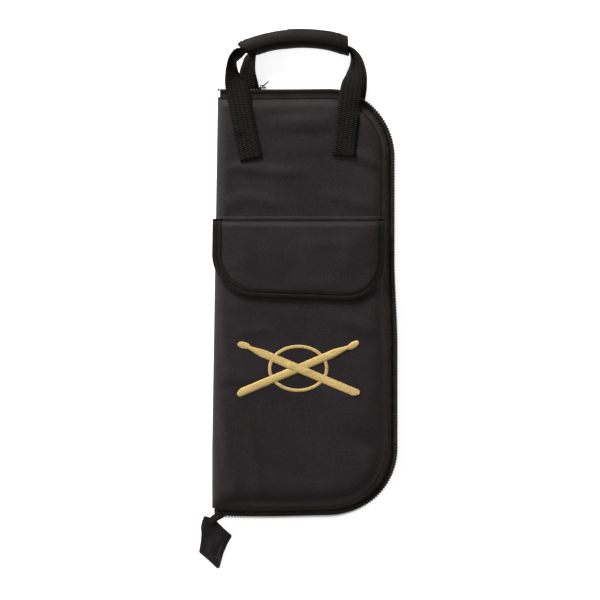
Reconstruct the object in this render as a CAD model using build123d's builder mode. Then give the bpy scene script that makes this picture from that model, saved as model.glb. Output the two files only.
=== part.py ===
"""Drum stick bag: a book-style zipped bag with an outer pocket and two carry handles.

The bag lies on its back. +X runs from the spine to the zipped edge, +Y towards the
handles and +Z out of the front. z = 0 is the back face that it rests on, and X = 0,
Y = 0 is the middle of the bag's plan. All dimensions are in millimetres.
"""

from build123d import *
import os
from math import cos, radians, sin

# Plan of the bag
HALF_WIDTH = 100
HALF_LENGTH = 235
CORNER_RADIUS = 75
SPINE_X = -99
OVERRUN = 30

# Spine panel
SPINE_MARGIN = 3
SPINE_CLOTH_OUT = 2.4
SPINE_CLOTH_END = 4
SPINE_LINING_OUT = 1.2
SPINE_LINING_END = 10

# Heights through the closed bag
FOLD_Z = 13
BODY_HEIGHT = 26
CLOTH = 1.2
FOAM = 2.2
LINING = 0.8
EDGE_TAPER = 30
TAPE_GAP = 2.2
COVER_DEPTH = FOLD_Z - TAPE_GAP - LINING
COVER_INSET = 9
CORE_INSET = 17.5
LINER_START = 1
RING_START = 4
TAPE_EDGE = 1
TAPE_WIDTH = 11

# Zip
COIL_WIDTH = 2
COIL_HEIGHT = 1.6
STOP_X = SPINE_X + 3
STOP_LENGTH = 2
STOP_WIDTH = 2.2
SLIDER_X = -48
SLIDER_LENGTH = 9
SLIDER_GAP = 0.3
PLATE = 1
OUTER_PLATE_HEIGHT = 8
INNER_PLATE_HEIGHT = 3.4
PLATE_CORNER = 2
POST_LENGTH = 3
POST_THICKNESS = 0.8
POST_BACK = 2.5
LUG_HALF = 3
LUG_REACH = 2.6
LUG_HEIGHT = 2.4
PIVOT_REACH = 0.85
PULL_WIRE = 0.9
PULL_LENGTH = 9
PULL_WIDTH = 5.5
PULL_ANGLE = 40

# Stick pockets inside each cover
POCKET_DEPTH = 4.6
POCKET_LEFT = -86
POCKET_INSET = 20
BACK_POCKET_TOP = 62
FRONT_POCKET_TOP = 22
BINDING = 6

# Outer pocket and its flap
OUTER_INSET = 15
OUTER_DEPTH = 4.4
OUTER_TOP = 82
OUTER_FACE_CLOTH = 0.8
SIDE_WALL_END = 4
SEAM_RIGHT = 80
HEM_WIDTH = 2
FLAP_TOP = 91.5
FLAP_BOTTOM = 3.8
FLAP_RIGHT = 85.5
FLAP_RADIUS = 47
FLAP_BEND = 6
FLAP_CLOTH = 0.8
FLAP_GAP = 1
FLAP_ROOT = 1.4
FLAP_ROOT_STEP = 1.2
FLAP_BINDING = 11
FLAP_FOLD = 2
BINDING_CLOTH = 0.6
SEAM_WIDTH = 4
SEAM_OFFSET = 1.5
SEAM_HEIGHT = 0.8
HOOK_TAPE = 0.4
HOOK_CENTRE = (-9, 30)
LOOP_SIZE = (70, 20)
HOOK_SIZE = (66, 18)

# Emblem on the outer pocket
EMBLEM_CENTRE = (-9, -72)
EMBLEM_ANGLE = 22
STICK_HALF = 70
STICK_RADIUS = 4.2
STICK_TAPER = 26
STICK_NECK = 10
NECK_RADIUS = 1.8
TIP_LENGTH = 7
TIP_RADIUS = 3.6
THREAD_HEIGHT = 0.5

# Handles
WEBBING = 25
STRAP = 1.2
SEWN_START = 157
SEWN_FLAT_END = 225
SEWN_END = 232.5
FRONT_FEET = ((-60, -11), (41.5, 5.5))
FRONT_SEWN_END_Z = 19.4
BACK_FEET = ((-63, 0), (44, 6))
BACK_SEWN_END_Z = 8
LEG_START = 244
LEG_WIDTH = 18
FRONT_LEGS = (-77, 52)
FRONT_LEG_Z = 15.2
BACK_LEGS = (-63.5, 60)
BACK_LEG_Z = 9.6
GRIP_LEFT = (-68, 276.5)
GRIP_TOP = (-13, 290)
GRIP_RIGHT = (46, 281)
GRIP_Z = 11
WRAP_RADIUS = 10
WRAP_WALL = 2
LEAF_GAP = 0.3
ROLL_WIDTH = 6
ROLL_HEIGHT = 6.5
ROLL_GAP = 0.4

# Tail of the zip and the tab sewn to it
TAIL_LENGTH = 8
TAIL_WIDTH = 2.4
TAIL_HEIGHT = 1.4
TAIL_DROP = 0.4
TAB_NECK = (-99, -238.2, 12)
TAB_SLOPE = 10
TAB_THICKNESS = 3
TAB_CORNER = 1.5
TAB_OUTLINE = ((-7, -1), (4, -2), (17, -19), (11, -33), (6, -42), (2, -54), (-16, -38), (-15, -19))

FRONT_TOP = BODY_HEIGHT
OUTER_CEILING = FRONT_TOP + OUTER_DEPTH
OUTER_FACE = OUTER_CEILING + OUTER_FACE_CLOTH
FLAP_Z = OUTER_FACE + FLAP_GAP
FLAP_FACE = FLAP_Z + 1.5 * FLAP_CLOTH


def save(part, name):
    """Label a finished piece and write its STEP file."""
    part.label = name
    export_step(part, f"parts/{name}.step")


def bag_plan(height, inset):
    """Plan of the bag at a height, drawn in by inset and running on past the spine."""
    width = HALF_WIDTH - inset - SPINE_X + OVERRUN
    centre = SPINE_X - OVERRUN + width / 2
    with BuildSketch(Plane.XY.offset(height)) as plan:
        with Locations((centre, 0)):
            Rectangle(width, 2 * (HALF_LENGTH - inset))
        fillet(plan.vertices().sort_by(Axis.X)[-2:], CORNER_RADIUS - inset)
    return plan.sketch


def tray(inset, depth, wall, cavity_depth):
    """Dished front cover skin that is open towards the zip and at the spine."""
    base = BODY_HEIGHT - depth
    with BuildPart() as shell:
        extrude(bag_plan(base, inset), amount=depth, taper=EDGE_TAPER)
        cavity = bag_plan(base, inset + wall)
        extrude(cavity, amount=cavity_depth, taper=EDGE_TAPER, mode=Mode.SUBTRACT)
        split(bisect_by=Plane.YZ.offset(SPINE_X))
    return shell.part


def liner(bottom, thickness, inset):
    """Flat layer inside the front cover."""
    with BuildPart() as layer:
        extrude(bag_plan(bottom, inset), amount=thickness)
        split(bisect_by=Plane.YZ.offset(SPINE_X + LINER_START))
    return layer.part


def edge_ring(bottom, height, outer_inset, width):
    """Band that follows the zipped edge, from the spine round to the spine."""
    with BuildPart() as ring:
        extrude(bag_plan(bottom, outer_inset), amount=height)
        extrude(bag_plan(bottom, outer_inset + width), amount=height, mode=Mode.SUBTRACT)
        split(bisect_by=Plane.YZ.offset(SPINE_X + RING_START))
    return ring.part


def stick_pocket(bottom, top_y):
    """Flat pocket in the front cover, open at its upper end, with one dividing seam."""
    length = top_y + HALF_LENGTH - POCKET_INSET
    left_wall = POCKET_LEFT + LINING / 2
    divider = (POCKET_LEFT + HALF_WIDTH - POCKET_INSET) / 2
    with BuildPart() as pocket:
        extrude(bag_plan(bottom, POCKET_INSET), amount=POCKET_DEPTH + LINING)
        cavity = bag_plan(bottom + LINING, POCKET_INSET + LINING)
        extrude(cavity, amount=POCKET_DEPTH, mode=Mode.SUBTRACT)
        split(bisect_by=Plane.YZ.offset(POCKET_LEFT))
        split(bisect_by=Plane.XZ.offset(-top_y), keep=Keep.TOP)
        with BuildSketch(Plane.XY.offset(bottom + LINING)):
            with Locations((left_wall, top_y - length / 2), (divider, top_y - length / 2)):
                Rectangle(LINING, length)
        extrude(amount=POCKET_DEPTH)
    return pocket.part


def pocket_binding(bottom, top_y):
    """Folded tape that finishes the mouth of a stick pocket."""
    width = HALF_WIDTH - POCKET_INSET - POCKET_LEFT
    with BuildPart() as binding:
        with BuildSketch(Plane.XY.offset(bottom)):
            with Locations((POCKET_LEFT + width / 2, top_y + BINDING / 2)):
                Rectangle(width, BINDING)
        extrude(amount=2 * LINING)
    return binding.part


def to_back(part):
    """The same piece on the back cover, mirrored through the fold plane."""
    return mirror(part, about=Plane.XY.offset(FOLD_Z))


def facing_zip(x, y):
    """Plane across the zip at the slider, with its height along the model's Z."""
    return Plane((x, y, FOLD_Z), x_dir=(1, 0, 0), z_dir=(0, 1, 0))


def strap_end(foot, top_z, end_z):
    """Sewn end of a webbing strap, flat on a cover and then sloping towards the zip."""
    foot_x, lean = foot
    along = Vector(sin(radians(lean)), cos(radians(lean)), 0)
    across = Vector(cos(radians(lean)), -sin(radians(lean)), 0)
    side = Plane(origin=(foot_x, SEWN_START, 0), x_dir=along, z_dir=across)
    flat = SEWN_FLAT_END - SEWN_START
    reach = SEWN_END - SEWN_START
    with BuildPart() as strap:
        with BuildSketch(side):
            with BuildLine():
                Polyline(
                    (0, top_z - STRAP),
                    (flat, top_z - STRAP),
                    (reach, end_z - STRAP),
                    (reach, end_z),
                    (flat, top_z),
                    (0, top_z),
                    close=True,
                )
            make_face()
        extrude(amount=WEBBING / 2, both=True)
    return strap.part


def grip_path():
    """Arc along the middle of the grip."""
    with BuildLine() as path:
        ThreePointArc(GRIP_LEFT + (GRIP_Z,), GRIP_TOP + (GRIP_Z,), GRIP_RIGHT + (GRIP_Z,))
    return path.line


def handle_strap(leg_x, leg_z, roll_z):
    """Webbing loop: two legs that gather into a rolled bar along the grip."""
    path = grip_path().moved(Location((0, 0, roll_z - GRIP_Z)))
    with BuildPart() as strap:
        with BuildSketch(Plane(path @ 0, x_dir=(0, 0, 1), z_dir=path % 0)):
            Rectangle(ROLL_HEIGHT, ROLL_WIDTH)
        sweep(path=path)
        for foot_x, spot in zip(leg_x, (0, 1)):
            foot_plane = Plane((foot_x, LEG_START, leg_z), x_dir=(1, 0, 0), z_dir=(0, 1, 0))
            with BuildSketch(foot_plane) as foot:
                Rectangle(LEG_WIDTH, STRAP)
            inward = 1 if spot == 0 else -1
            tangent = (path % spot) * inward
            across = Vector(tangent.Y, -tangent.X, 0) * inward
            with BuildSketch(Plane(path @ spot, x_dir=across, z_dir=tangent)) as top:
                Rectangle(ROLL_WIDTH, ROLL_HEIGHT)
            loft(sections=[foot.sketch, top.sketch], ruled=True)
    return strap.part


def wrap_half(upper):
    """Half of the padded wrap, split level with the middle of the grip."""
    path = grip_path()
    half = Plane.XY.offset(GRIP_Z + (LEAF_GAP / 2 if upper else -LEAF_GAP / 2))
    with BuildPart() as wrap:
        with BuildSketch(Plane(path @ 0, x_dir=(0, 0, 1), z_dir=path % 0)):
            Circle(WRAP_RADIUS)
            Circle(WRAP_RADIUS - WRAP_WALL, mode=Mode.SUBTRACT)
        sweep(path=path)
        split(bisect_by=half, keep=Keep.TOP if upper else Keep.BOTTOM)
    return wrap.part


def flap_plan(height, inset):
    """Plan of the pocket flap below its seam, drawn in by inset on its free sides."""
    width = FLAP_RIGHT - SPINE_X - 2 * inset
    top = FLAP_TOP - FLAP_BEND
    length = top - FLAP_BOTTOM - inset
    with BuildSketch(Plane.XY.offset(height)) as plan:
        with Locations(((FLAP_RIGHT + SPINE_X) / 2, top - length / 2)):
            Rectangle(width, length)
        fillet(plan.vertices().sort_by(Axis.Y)[:2], FLAP_RADIUS - inset)
    return plan.sketch


def drumstick(angle):
    """One embroidered drumstick across the middle of the emblem."""
    turned = (cos(radians(angle)), sin(radians(angle)), 0)
    with BuildPart() as stick:
        with BuildSketch(Plane(EMBLEM_CENTRE + (OUTER_FACE,), x_dir=turned, z_dir=(0, 0, 1))):
            with BuildLine():
                Polyline(
                    (-STICK_HALF, -STICK_RADIUS),
                    (STICK_HALF - STICK_TAPER, -STICK_RADIUS),
                    (STICK_HALF - STICK_NECK, -NECK_RADIUS),
                    (STICK_HALF - STICK_NECK, NECK_RADIUS),
                    (STICK_HALF - STICK_TAPER, STICK_RADIUS),
                    (-STICK_HALF, STICK_RADIUS),
                    close=True,
                )
            make_face()
            with Locations((STICK_HALF - TIP_LENGTH, 0)):
                Ellipse(TIP_LENGTH, TIP_RADIUS)
        extrude(amount=THREAD_HEIGHT)
    return stick.part


os.makedirs("parts", exist_ok=True)

# ---- Covers: cloth, foam and lining --------------------------------------------------

front_cloth = tray(COVER_INSET, COVER_DEPTH, CLOTH, COVER_DEPTH - CLOTH)
front_foam = liner(FRONT_TOP - CLOTH - FOAM, FOAM, CORE_INSET)
front_lining = liner(FRONT_TOP - CLOTH - FOAM - LINING, LINING, CORE_INSET)
save(front_cloth, "front_cover_cloth")
save(front_foam, "front_cover_foam")
save(front_lining, "front_cover_lining")

front_left_end, front_right_end = (
    strap_end(foot, FRONT_TOP + STRAP, FRONT_SEWN_END_Z) for foot in FRONT_FEET
)
save(front_left_end + front_right_end, "front_strap_sewn_ends")

back_left_end, back_right_end = (strap_end(foot, STRAP, BACK_SEWN_END_Z) for foot in BACK_FEET)
back_strap_ends = back_left_end + back_right_end
back_cloth = to_back(front_cloth) - back_strap_ends
save(back_cloth, "back_cover_cloth")
save(to_back(front_foam), "back_cover_foam")
save(to_back(front_lining), "back_cover_lining")
save(back_strap_ends, "back_strap_sewn_ends")

# ---- Spine panel that joins the covers -----------------------------------------------

with BuildPart() as spine_cloth:
    with BuildSketch(Plane.XY.offset(SPINE_MARGIN)):
        with Locations((SPINE_X - SPINE_CLOTH_OUT, 0)):
            Rectangle(CLOTH, 2 * (HALF_LENGTH - SPINE_CLOTH_END))
    extrude(amount=BODY_HEIGHT - 2 * SPINE_MARGIN)
save(spine_cloth.part, "spine_cloth")

with BuildPart() as spine_lining:
    with BuildSketch(Plane.XY.offset(SPINE_MARGIN)):
        with Locations((SPINE_X - SPINE_LINING_OUT, 0)):
            Rectangle(CLOTH, 2 * (HALF_LENGTH - SPINE_LINING_END))
    extrude(amount=BODY_HEIGHT - 2 * SPINE_MARGIN)
save(spine_lining.part, "spine_lining")

# ---- Stick pockets -------------------------------------------------------------------

pocket_z = FRONT_TOP - CLOTH - FOAM - LINING - POCKET_DEPTH - LINING
save(stick_pocket(pocket_z, FRONT_POCKET_TOP), "front_stick_pocket")
save(pocket_binding(pocket_z - LINING / 2, FRONT_POCKET_TOP), "front_stick_pocket_binding")
save(to_back(stick_pocket(pocket_z, BACK_POCKET_TOP)), "back_stick_pocket")
save(to_back(pocket_binding(pocket_z - LINING / 2, BACK_POCKET_TOP)), "back_stick_pocket_binding")

# ---- Zip: tapes, coil rows, stops ----------------------------------------------------

tape_front = edge_ring(FOLD_Z + TAPE_GAP, LINING, TAPE_EDGE, TAPE_WIDTH)
coil_front = edge_ring(FOLD_Z + TAPE_GAP - COIL_HEIGHT, COIL_HEIGHT, 0, COIL_WIDTH)
save(tape_front, "zip_tape_front")
save(to_back(tape_front), "zip_tape_back")
save(coil_front, "zip_coil_front")
save(to_back(coil_front), "zip_coil_back")

with BuildPart() as stop_front:
    with BuildSketch(Plane.XY.offset(FOLD_Z + TAPE_GAP - COIL_HEIGHT)):
        stop_y = HALF_LENGTH - STOP_WIDTH / 2
        with Locations((STOP_X, stop_y), (STOP_X, -stop_y)):
            Rectangle(STOP_LENGTH, STOP_WIDTH)
    extrude(amount=COIL_HEIGHT)
save(stop_front.part, "zip_stops_front")
save(to_back(stop_front.part), "zip_stops_back")

# ---- Slider: two plates round the chain, a post between the rows and a lug -----------

with BuildPart() as zip_slider:
    outer_y = HALF_LENGTH + SLIDER_GAP
    with BuildSketch(facing_zip(SLIDER_X, outer_y)) as outer_plate:
        Rectangle(SLIDER_LENGTH, OUTER_PLATE_HEIGHT)
        fillet(outer_plate.vertices(), PLATE_CORNER)
    extrude(amount=PLATE)
    inner_y = HALF_LENGTH - COIL_WIDTH - SLIDER_GAP - PLATE
    with BuildSketch(facing_zip(SLIDER_X, inner_y)):
        Rectangle(SLIDER_LENGTH, INNER_PLATE_HEIGHT)
    extrude(amount=PLATE)
    with BuildSketch(facing_zip(SLIDER_X - POST_BACK, inner_y)):
        Rectangle(POST_LENGTH, POST_THICKNESS)
    extrude(amount=outer_y - inner_y)
    lug_y = outer_y + PLATE
    with BuildSketch(Plane((SLIDER_X, lug_y, FOLD_Z - LUG_HEIGHT / 2), x_dir=(1, 0, 0), z_dir=(0, 0, 1))):
        with BuildLine():
            Polyline(
                (-LUG_HALF, 0),
                (1 - LUG_HALF, LUG_REACH),
                (LUG_HALF - 1, LUG_REACH),
                (LUG_HALF, 0),
                close=True,
            )
        make_face()
        with BuildLine(mode=Mode.PRIVATE) as eye:
            Polyline((-2, 0), (-1.4, 1.8), (1.4, 1.8), (2, 0), close=True)
        make_face(eye.edges(), mode=Mode.SUBTRACT)
    extrude(amount=LUG_HEIGHT)
save(zip_slider.part, "zip_slider")

# ---- Wire pull, a long ring through the lug ------------------------------------------

pull_pivot = Vector(SLIDER_X, lug_y + PIVOT_REACH, FOLD_Z)
pull_dir = Vector(cos(radians(PULL_ANGLE)), sin(radians(PULL_ANGLE)), 0)
pull_plane = Plane(origin=pull_pivot, x_dir=pull_dir, z_dir=(-pull_dir.Y, pull_dir.X, 0))
straight = PULL_LENGTH - PULL_WIDTH / 2
with BuildPart() as zip_pull:
    with BuildLine(pull_plane) as wire:
        Line((0, -PULL_WIDTH / 2), (straight, -PULL_WIDTH / 2))
        ThreePointArc((straight, -PULL_WIDTH / 2), (PULL_LENGTH, 0), (straight, PULL_WIDTH / 2))
        Line((straight, PULL_WIDTH / 2), (0, PULL_WIDTH / 2))
        Line((0, PULL_WIDTH / 2), (0, -PULL_WIDTH / 2))
    with BuildSketch(Plane(origin=wire.line @ 0, z_dir=pull_dir)):
        Circle(PULL_WIRE / 2)
    sweep(path=wire.line, transition=Transition.RIGHT)
save(zip_pull.part, "zip_pull")

# ---- Outer pocket and its mouth hem --------------------------------------------------

with BuildPart() as outer_pocket:
    extrude(bag_plan(FRONT_TOP, OUTER_INSET), amount=OUTER_DEPTH + OUTER_FACE_CLOTH, taper=EDGE_TAPER)
    inside = bag_plan(FRONT_TOP, OUTER_INSET + CLOTH)
    extrude(inside, amount=OUTER_DEPTH, taper=EDGE_TAPER, mode=Mode.SUBTRACT)
    split(bisect_by=Plane.XZ.offset(-OUTER_TOP), keep=Keep.TOP)
    split(bisect_by=Plane.YZ.offset(SPINE_X))
    with BuildSketch(Plane.XY.offset(FRONT_TOP)):
        wall_end = OUTER_INSET + SIDE_WALL_END - HALF_LENGTH
        with Locations((SPINE_X + CLOTH / 2, (OUTER_TOP + wall_end) / 2)):
            Rectangle(CLOTH, OUTER_TOP - wall_end)
    extrude(amount=OUTER_DEPTH)
save(outer_pocket.part, "outer_pocket")

with BuildPart() as pocket_hem:
    with BuildSketch(Plane.XY.offset(OUTER_CEILING)):
        with Locations(((SPINE_X + SEAM_RIGHT) / 2, OUTER_TOP + HEM_WIDTH / 2)):
            Rectangle(SEAM_RIGHT - SPINE_X, HEM_WIDTH)
    extrude(amount=OUTER_FACE_CLOTH)
save(pocket_hem.part, "outer_pocket_hem")

with BuildPart() as loop_tape:
    with BuildSketch(Plane.XY.offset(OUTER_FACE)):
        with Locations(HOOK_CENTRE):
            Rectangle(*LOOP_SIZE)
    extrude(amount=HOOK_TAPE)
save(loop_tape.part, "pocket_loop_tape")

with BuildPart() as hook_tape:
    with BuildSketch(Plane.XY.offset(FLAP_Z - HOOK_TAPE)):
        with Locations(HOOK_CENTRE):
            Rectangle(*HOOK_SIZE)
    extrude(amount=HOOK_TAPE)
save(hook_tape.part, "flap_hook_tape")

# ---- Emblem: crossed drumsticks in thread --------------------------------------------

emblem = drumstick(EMBLEM_ANGLE) + drumstick(180 - EMBLEM_ANGLE)
save(emblem, "embroidered_emblem")

# ---- Flap: lining, cloth, edge binding and the seam above it -------------------------

with BuildPart() as flap_lining:
    extrude(flap_plan(FLAP_Z, FLAP_FOLD), amount=FLAP_CLOTH / 2)
save(flap_lining.part, "flap_lining")

with BuildPart() as flap_cloth:
    extrude(flap_plan(FLAP_Z + FLAP_CLOTH / 2, FLAP_FOLD), amount=FLAP_CLOTH)
    bend_y = FLAP_TOP - FLAP_BEND
    root_z = FRONT_TOP + FLAP_ROOT
    with BuildSketch(Plane.YZ.offset((FLAP_RIGHT + SPINE_X) / 2)):
        with BuildLine():
            Polyline(
                (bend_y, FLAP_FACE - FLAP_CLOTH),
                (bend_y, FLAP_FACE),
                (FLAP_TOP, root_z + PLATE),
                (FLAP_TOP, root_z),
                (FLAP_TOP - FLAP_ROOT_STEP, root_z),
                close=True,
            )
        make_face()
    extrude(amount=(FLAP_RIGHT - SPINE_X) / 2 - FLAP_FOLD, both=True)
save(flap_cloth.part, "flap_cloth")

with BuildPart() as flap_binding:
    extrude(flap_plan(FLAP_FACE, 0), amount=BINDING_CLOTH)
    extrude(flap_plan(FLAP_FACE, FLAP_BINDING), amount=BINDING_CLOTH, mode=Mode.SUBTRACT)
    with BuildSketch(Plane.XY.offset(FLAP_Z)):
        add(flap_plan(0, 0))
        add(flap_plan(0, FLAP_FOLD), mode=Mode.SUBTRACT)
    extrude(amount=FLAP_FACE - FLAP_Z)
    with BuildSketch(Plane.XY.offset(FLAP_Z)):
        with Locations(((SPINE_X + FLAP_RIGHT) / 2, bend_y - FLAP_BINDING / 2)):
            Rectangle(FLAP_RIGHT - SPINE_X - 2 * FLAP_BINDING, FLAP_BINDING + SLIDER_GAP)
    extrude(amount=SEAM_WIDTH, mode=Mode.SUBTRACT)
save(flap_binding.part, "flap_binding")

with BuildPart() as flap_seam:
    with BuildSketch(Plane.XY.offset(FRONT_TOP)):
        with Locations(((SPINE_X + SEAM_RIGHT) / 2, FLAP_TOP + SEAM_OFFSET)):
            Rectangle(SEAM_RIGHT - SPINE_X, SEAM_WIDTH)
    extrude(amount=SEAM_HEIGHT)
save(flap_seam.part, "flap_seam")

# ---- Handles and the padded wrap -----------------------------------------------------

roll_offset = ROLL_GAP + ROLL_HEIGHT / 2
save(handle_strap(FRONT_LEGS, FRONT_LEG_Z, GRIP_Z + roll_offset), "front_handle_strap")
save(handle_strap(BACK_LEGS, BACK_LEG_Z, GRIP_Z - roll_offset), "back_handle_strap")
save(wrap_half(False), "grip_wrap")
save(wrap_half(True), "grip_wrap_leaf")

# ---- Zip tail and its folded tab -----------------------------------------------------

with BuildPart() as zip_tail:
    with BuildSketch(Plane.XY.offset(FOLD_Z - TAPE_GAP - TAIL_DROP)):
        with Locations((SPINE_X + 1, -HALF_LENGTH - TAIL_WIDTH / 2)):
            Rectangle(TAIL_LENGTH, TAIL_WIDTH)
    extrude(amount=TAIL_HEIGHT)
save(zip_tail.part, "zip_tail")

tab_normal = (0, -sin(radians(TAB_SLOPE)), cos(radians(TAB_SLOPE)))
tab_plane = Plane(origin=TAB_NECK, x_dir=(1, 0, 0), z_dir=tab_normal)
with BuildPart() as end_tab:
    with BuildSketch(tab_plane):
        with BuildLine():
            Polyline(*TAB_OUTLINE, close=True)
        make_face()
    extrude(amount=-TAB_THICKNESS)
    fillet(end_tab.edges().filter_by(Axis.Z, tolerance=TAB_SLOPE + 2), TAB_CORNER)
save(end_tab.part, "end_tab")
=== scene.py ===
"""Looks of the drum stick bag: padded nylon covers, coil zip, webbing handles and embroidery.

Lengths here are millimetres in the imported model's frame, and to_mesh() turns them into metres.
The bag lies on its back: +X points to the zipped edge, +Y to the handles, +Z out of the front.
"""

import math

import bpy
import numpy as np
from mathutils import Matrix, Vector, noise
from mathutils.kdtree import KDTree


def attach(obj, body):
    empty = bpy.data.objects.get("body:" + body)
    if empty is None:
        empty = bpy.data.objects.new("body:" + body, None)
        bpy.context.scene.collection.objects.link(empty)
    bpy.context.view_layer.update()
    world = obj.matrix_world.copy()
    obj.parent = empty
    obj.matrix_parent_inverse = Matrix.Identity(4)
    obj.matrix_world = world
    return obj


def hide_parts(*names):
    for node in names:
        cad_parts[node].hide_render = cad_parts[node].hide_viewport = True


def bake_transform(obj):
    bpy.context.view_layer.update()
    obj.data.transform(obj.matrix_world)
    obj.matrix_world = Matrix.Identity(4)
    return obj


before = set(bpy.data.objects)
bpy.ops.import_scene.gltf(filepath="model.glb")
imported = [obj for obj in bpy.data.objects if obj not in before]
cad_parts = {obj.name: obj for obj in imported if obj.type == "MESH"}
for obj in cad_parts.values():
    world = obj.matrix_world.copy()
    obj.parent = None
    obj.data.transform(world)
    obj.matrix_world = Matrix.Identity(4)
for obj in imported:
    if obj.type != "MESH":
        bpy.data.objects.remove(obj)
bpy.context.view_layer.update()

MM = 0.001
HALF_WIDTH = 100.0
HALF_LENGTH = 235.0
CORNER_RADIUS = 75.0
CORE_X = HALF_WIDTH - CORNER_RADIUS
CORE_Y = HALF_LENGTH - CORNER_RADIUS
SPINE = -102.0
FOLD_Z = 13.0
PAD = 13.0
TAPE_INSET = 9.0
POCKET_TOP = 82.0
FLAP_TOP = 91.5
FLAP_LEFT = -104.8
FLAP_RIGHT = 88.8
FLAP_BOTTOM = 5.0
FLAP_RADIUS = 47.0
SEAM_DROP = 2.3
EMBLEM = (-9.0, -72.0)
HOOK_STRIP = (-9.0, 30.0)
GRIP_Z = 11.0
GRIP_POINTS = ((-67.5, 277.0), (-11.0, 289.4), (46.5, 280.9))
GRIP_SKEW = 4.0
WRAP_SEAM = 0.46


# ---- Camera, floor and light ---------------------------------------------------------


def make_stage():
    """Overhead camera, pale floor and soft studio light."""
    scene = bpy.context.scene
    scene.view_settings.view_transform = "Standard"
    data = bpy.data.cameras.new("camera")
    camera = bpy.data.objects.new("camera", data)
    scene.collection.objects.link(camera)
    view_width, distance = 0.6576, 2.6
    data.lens = data.sensor_width * distance / view_width
    camera.location = (-0.0066, 0.0027, 0.02 + distance)
    scene.camera = camera

    world = bpy.data.worlds.new("studio")
    scene.world = world
    world.use_nodes = True
    background = world.node_tree.nodes["Background"]
    background.inputs["Color"].default_value = (1, 1, 1, 1)
    background.inputs["Strength"].default_value = 0.2

    for name, spot, size, power in (
        # name, place in metres, width in metres, watts
        ("key", (-1.1, 2.6, 1.3), 0.9, 130),
        ("fill", (0.9, -0.3, 1.6), 1.6, 5),
        ("side", (-1.8, 0.2, 0.7), 0.8, 14),
    ):
        lamp = bpy.data.lights.new(name, "AREA")
        lamp.size, lamp.energy = size, power
        light = bpy.data.objects.new(name, lamp)
        light.location = spot
        light.rotation_euler = (-Vector(spot)).to_track_quat("-Z", "Y").to_euler()
        scene.collection.objects.link(light)

    mesh = bpy.data.meshes.new("floor")
    side, level = 6, -0.0006
    corners = [(x * side, y * side, level) for x, y in ((-1, -1), (1, -1), (1, 1), (-1, 1))]
    mesh.from_pydata(corners, [], [(0, 1, 2, 3)])
    floor = bpy.data.objects.new("floor", mesh)
    scene.collection.objects.link(floor)
    paint = bpy.data.materials.new("floor_white")
    paint.use_nodes = True
    shader = paint.node_tree.nodes["Principled BSDF"]
    shader.inputs["Base Color"].default_value = (0.9, 0.9, 0.9, 1)
    shader.inputs["Roughness"].default_value = 0.9
    shader.inputs["Emission Color"].default_value = (1, 1, 1, 1)
    shader.inputs["Emission Strength"].default_value = 0.75
    mesh.materials.append(paint)


make_stage()


# ---- Materials -----------------------------------------------------------------------


class Nodes:
    """Short calls for building one material's node tree."""

    def __init__(self, name):
        self.material = bpy.data.materials.new(name)
        self.material.use_nodes = True
        self.tree = self.material.node_tree
        self.shader = self.tree.nodes["Principled BSDF"]

    def add(self, kind):
        return self.tree.nodes.new(kind)

    def link(self, source, target):
        self.tree.links.new(source, target)

    def math(self, operation, a, b=0.5):
        node = self.add("ShaderNodeMath")
        node.operation = operation
        for socket, value in zip(node.inputs, (a, b)):
            if isinstance(value, (int, float)):
                socket.default_value = value
            else:
                self.link(value, socket)
        return node.outputs[0]

    def wave(self, axis, pitch, phase=None):
        """Sine from 0 to 1 along one component of a coordinate, one turn per pitch."""
        angle = self.math("MULTIPLY", axis, 2 * math.pi / pitch)
        if phase is not None:
            angle = self.math("ADD", angle, phase)
        return self.math("MULTIPLY_ADD", self.math("SINE", angle), 0.5)

    def split(self, vector):
        """The x, y and z parts of a vector."""
        node = self.add("ShaderNodeSeparateXYZ")
        self.link(vector, node.inputs[0])
        return node.outputs

    def coordinates(self):
        """A place in the object, whole and as its x, y and z."""
        vector = self.add("ShaderNodeTexCoord").outputs["Object"]
        return vector, self.split(vector)

    def strip_coordinates(self):
        """Millimetres across and along a strip, from the strip's own map."""
        return self.split(self.add("ShaderNodeUVMap").outputs[0])[:2]

    def noise(self, vector, scale, detail):
        node = self.add("ShaderNodeTexNoise")
        node.inputs["Scale"].default_value = scale
        node.inputs["Detail"].default_value = detail
        node.inputs["Roughness"].default_value = 0.55
        self.link(vector, node.inputs["Vector"])
        return node.outputs[0]

    def ramp(self, value, low, high, dark, light):
        """Colour between dark and light as value goes from low to high."""
        node = self.add("ShaderNodeValToRGB")
        node.color_ramp.elements[0].position = low
        node.color_ramp.elements[1].position = high
        node.color_ramp.elements[0].color = (*dark, 1)
        node.color_ramp.elements[1].color = (*light, 1)
        self.link(value, node.inputs[0])
        return node.outputs[0]

    def bump(self, height, strength, distance, below=None):
        node = self.add("ShaderNodeBump")
        node.inputs["Strength"].default_value = strength
        node.inputs["Distance"].default_value = distance
        self.link(height, node.inputs["Height"])
        if below is not None:
            self.link(below, node.inputs["Normal"])
        return node.outputs[0]

    def finish(self, colour, normal, roughness, rough_from, sheen, gloss):
        """Wire up the shader and return the material. Roughness varies with rough_from."""
        shader = self.shader
        shader.inputs["Specular IOR Level"].default_value = gloss
        self.link(colour, shader.inputs["Base Color"])
        self.link(normal, shader.inputs["Normal"])
        spread = self.math("MULTIPLY_ADD", rough_from, 0.2)
        spread.node.inputs[2].default_value = roughness - 0.1
        self.link(spread, shader.inputs["Roughness"])
        shader.inputs["Sheen Weight"].default_value = sheen
        shader.inputs["Sheen Roughness"].default_value = 0.45
        return self.material


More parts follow.
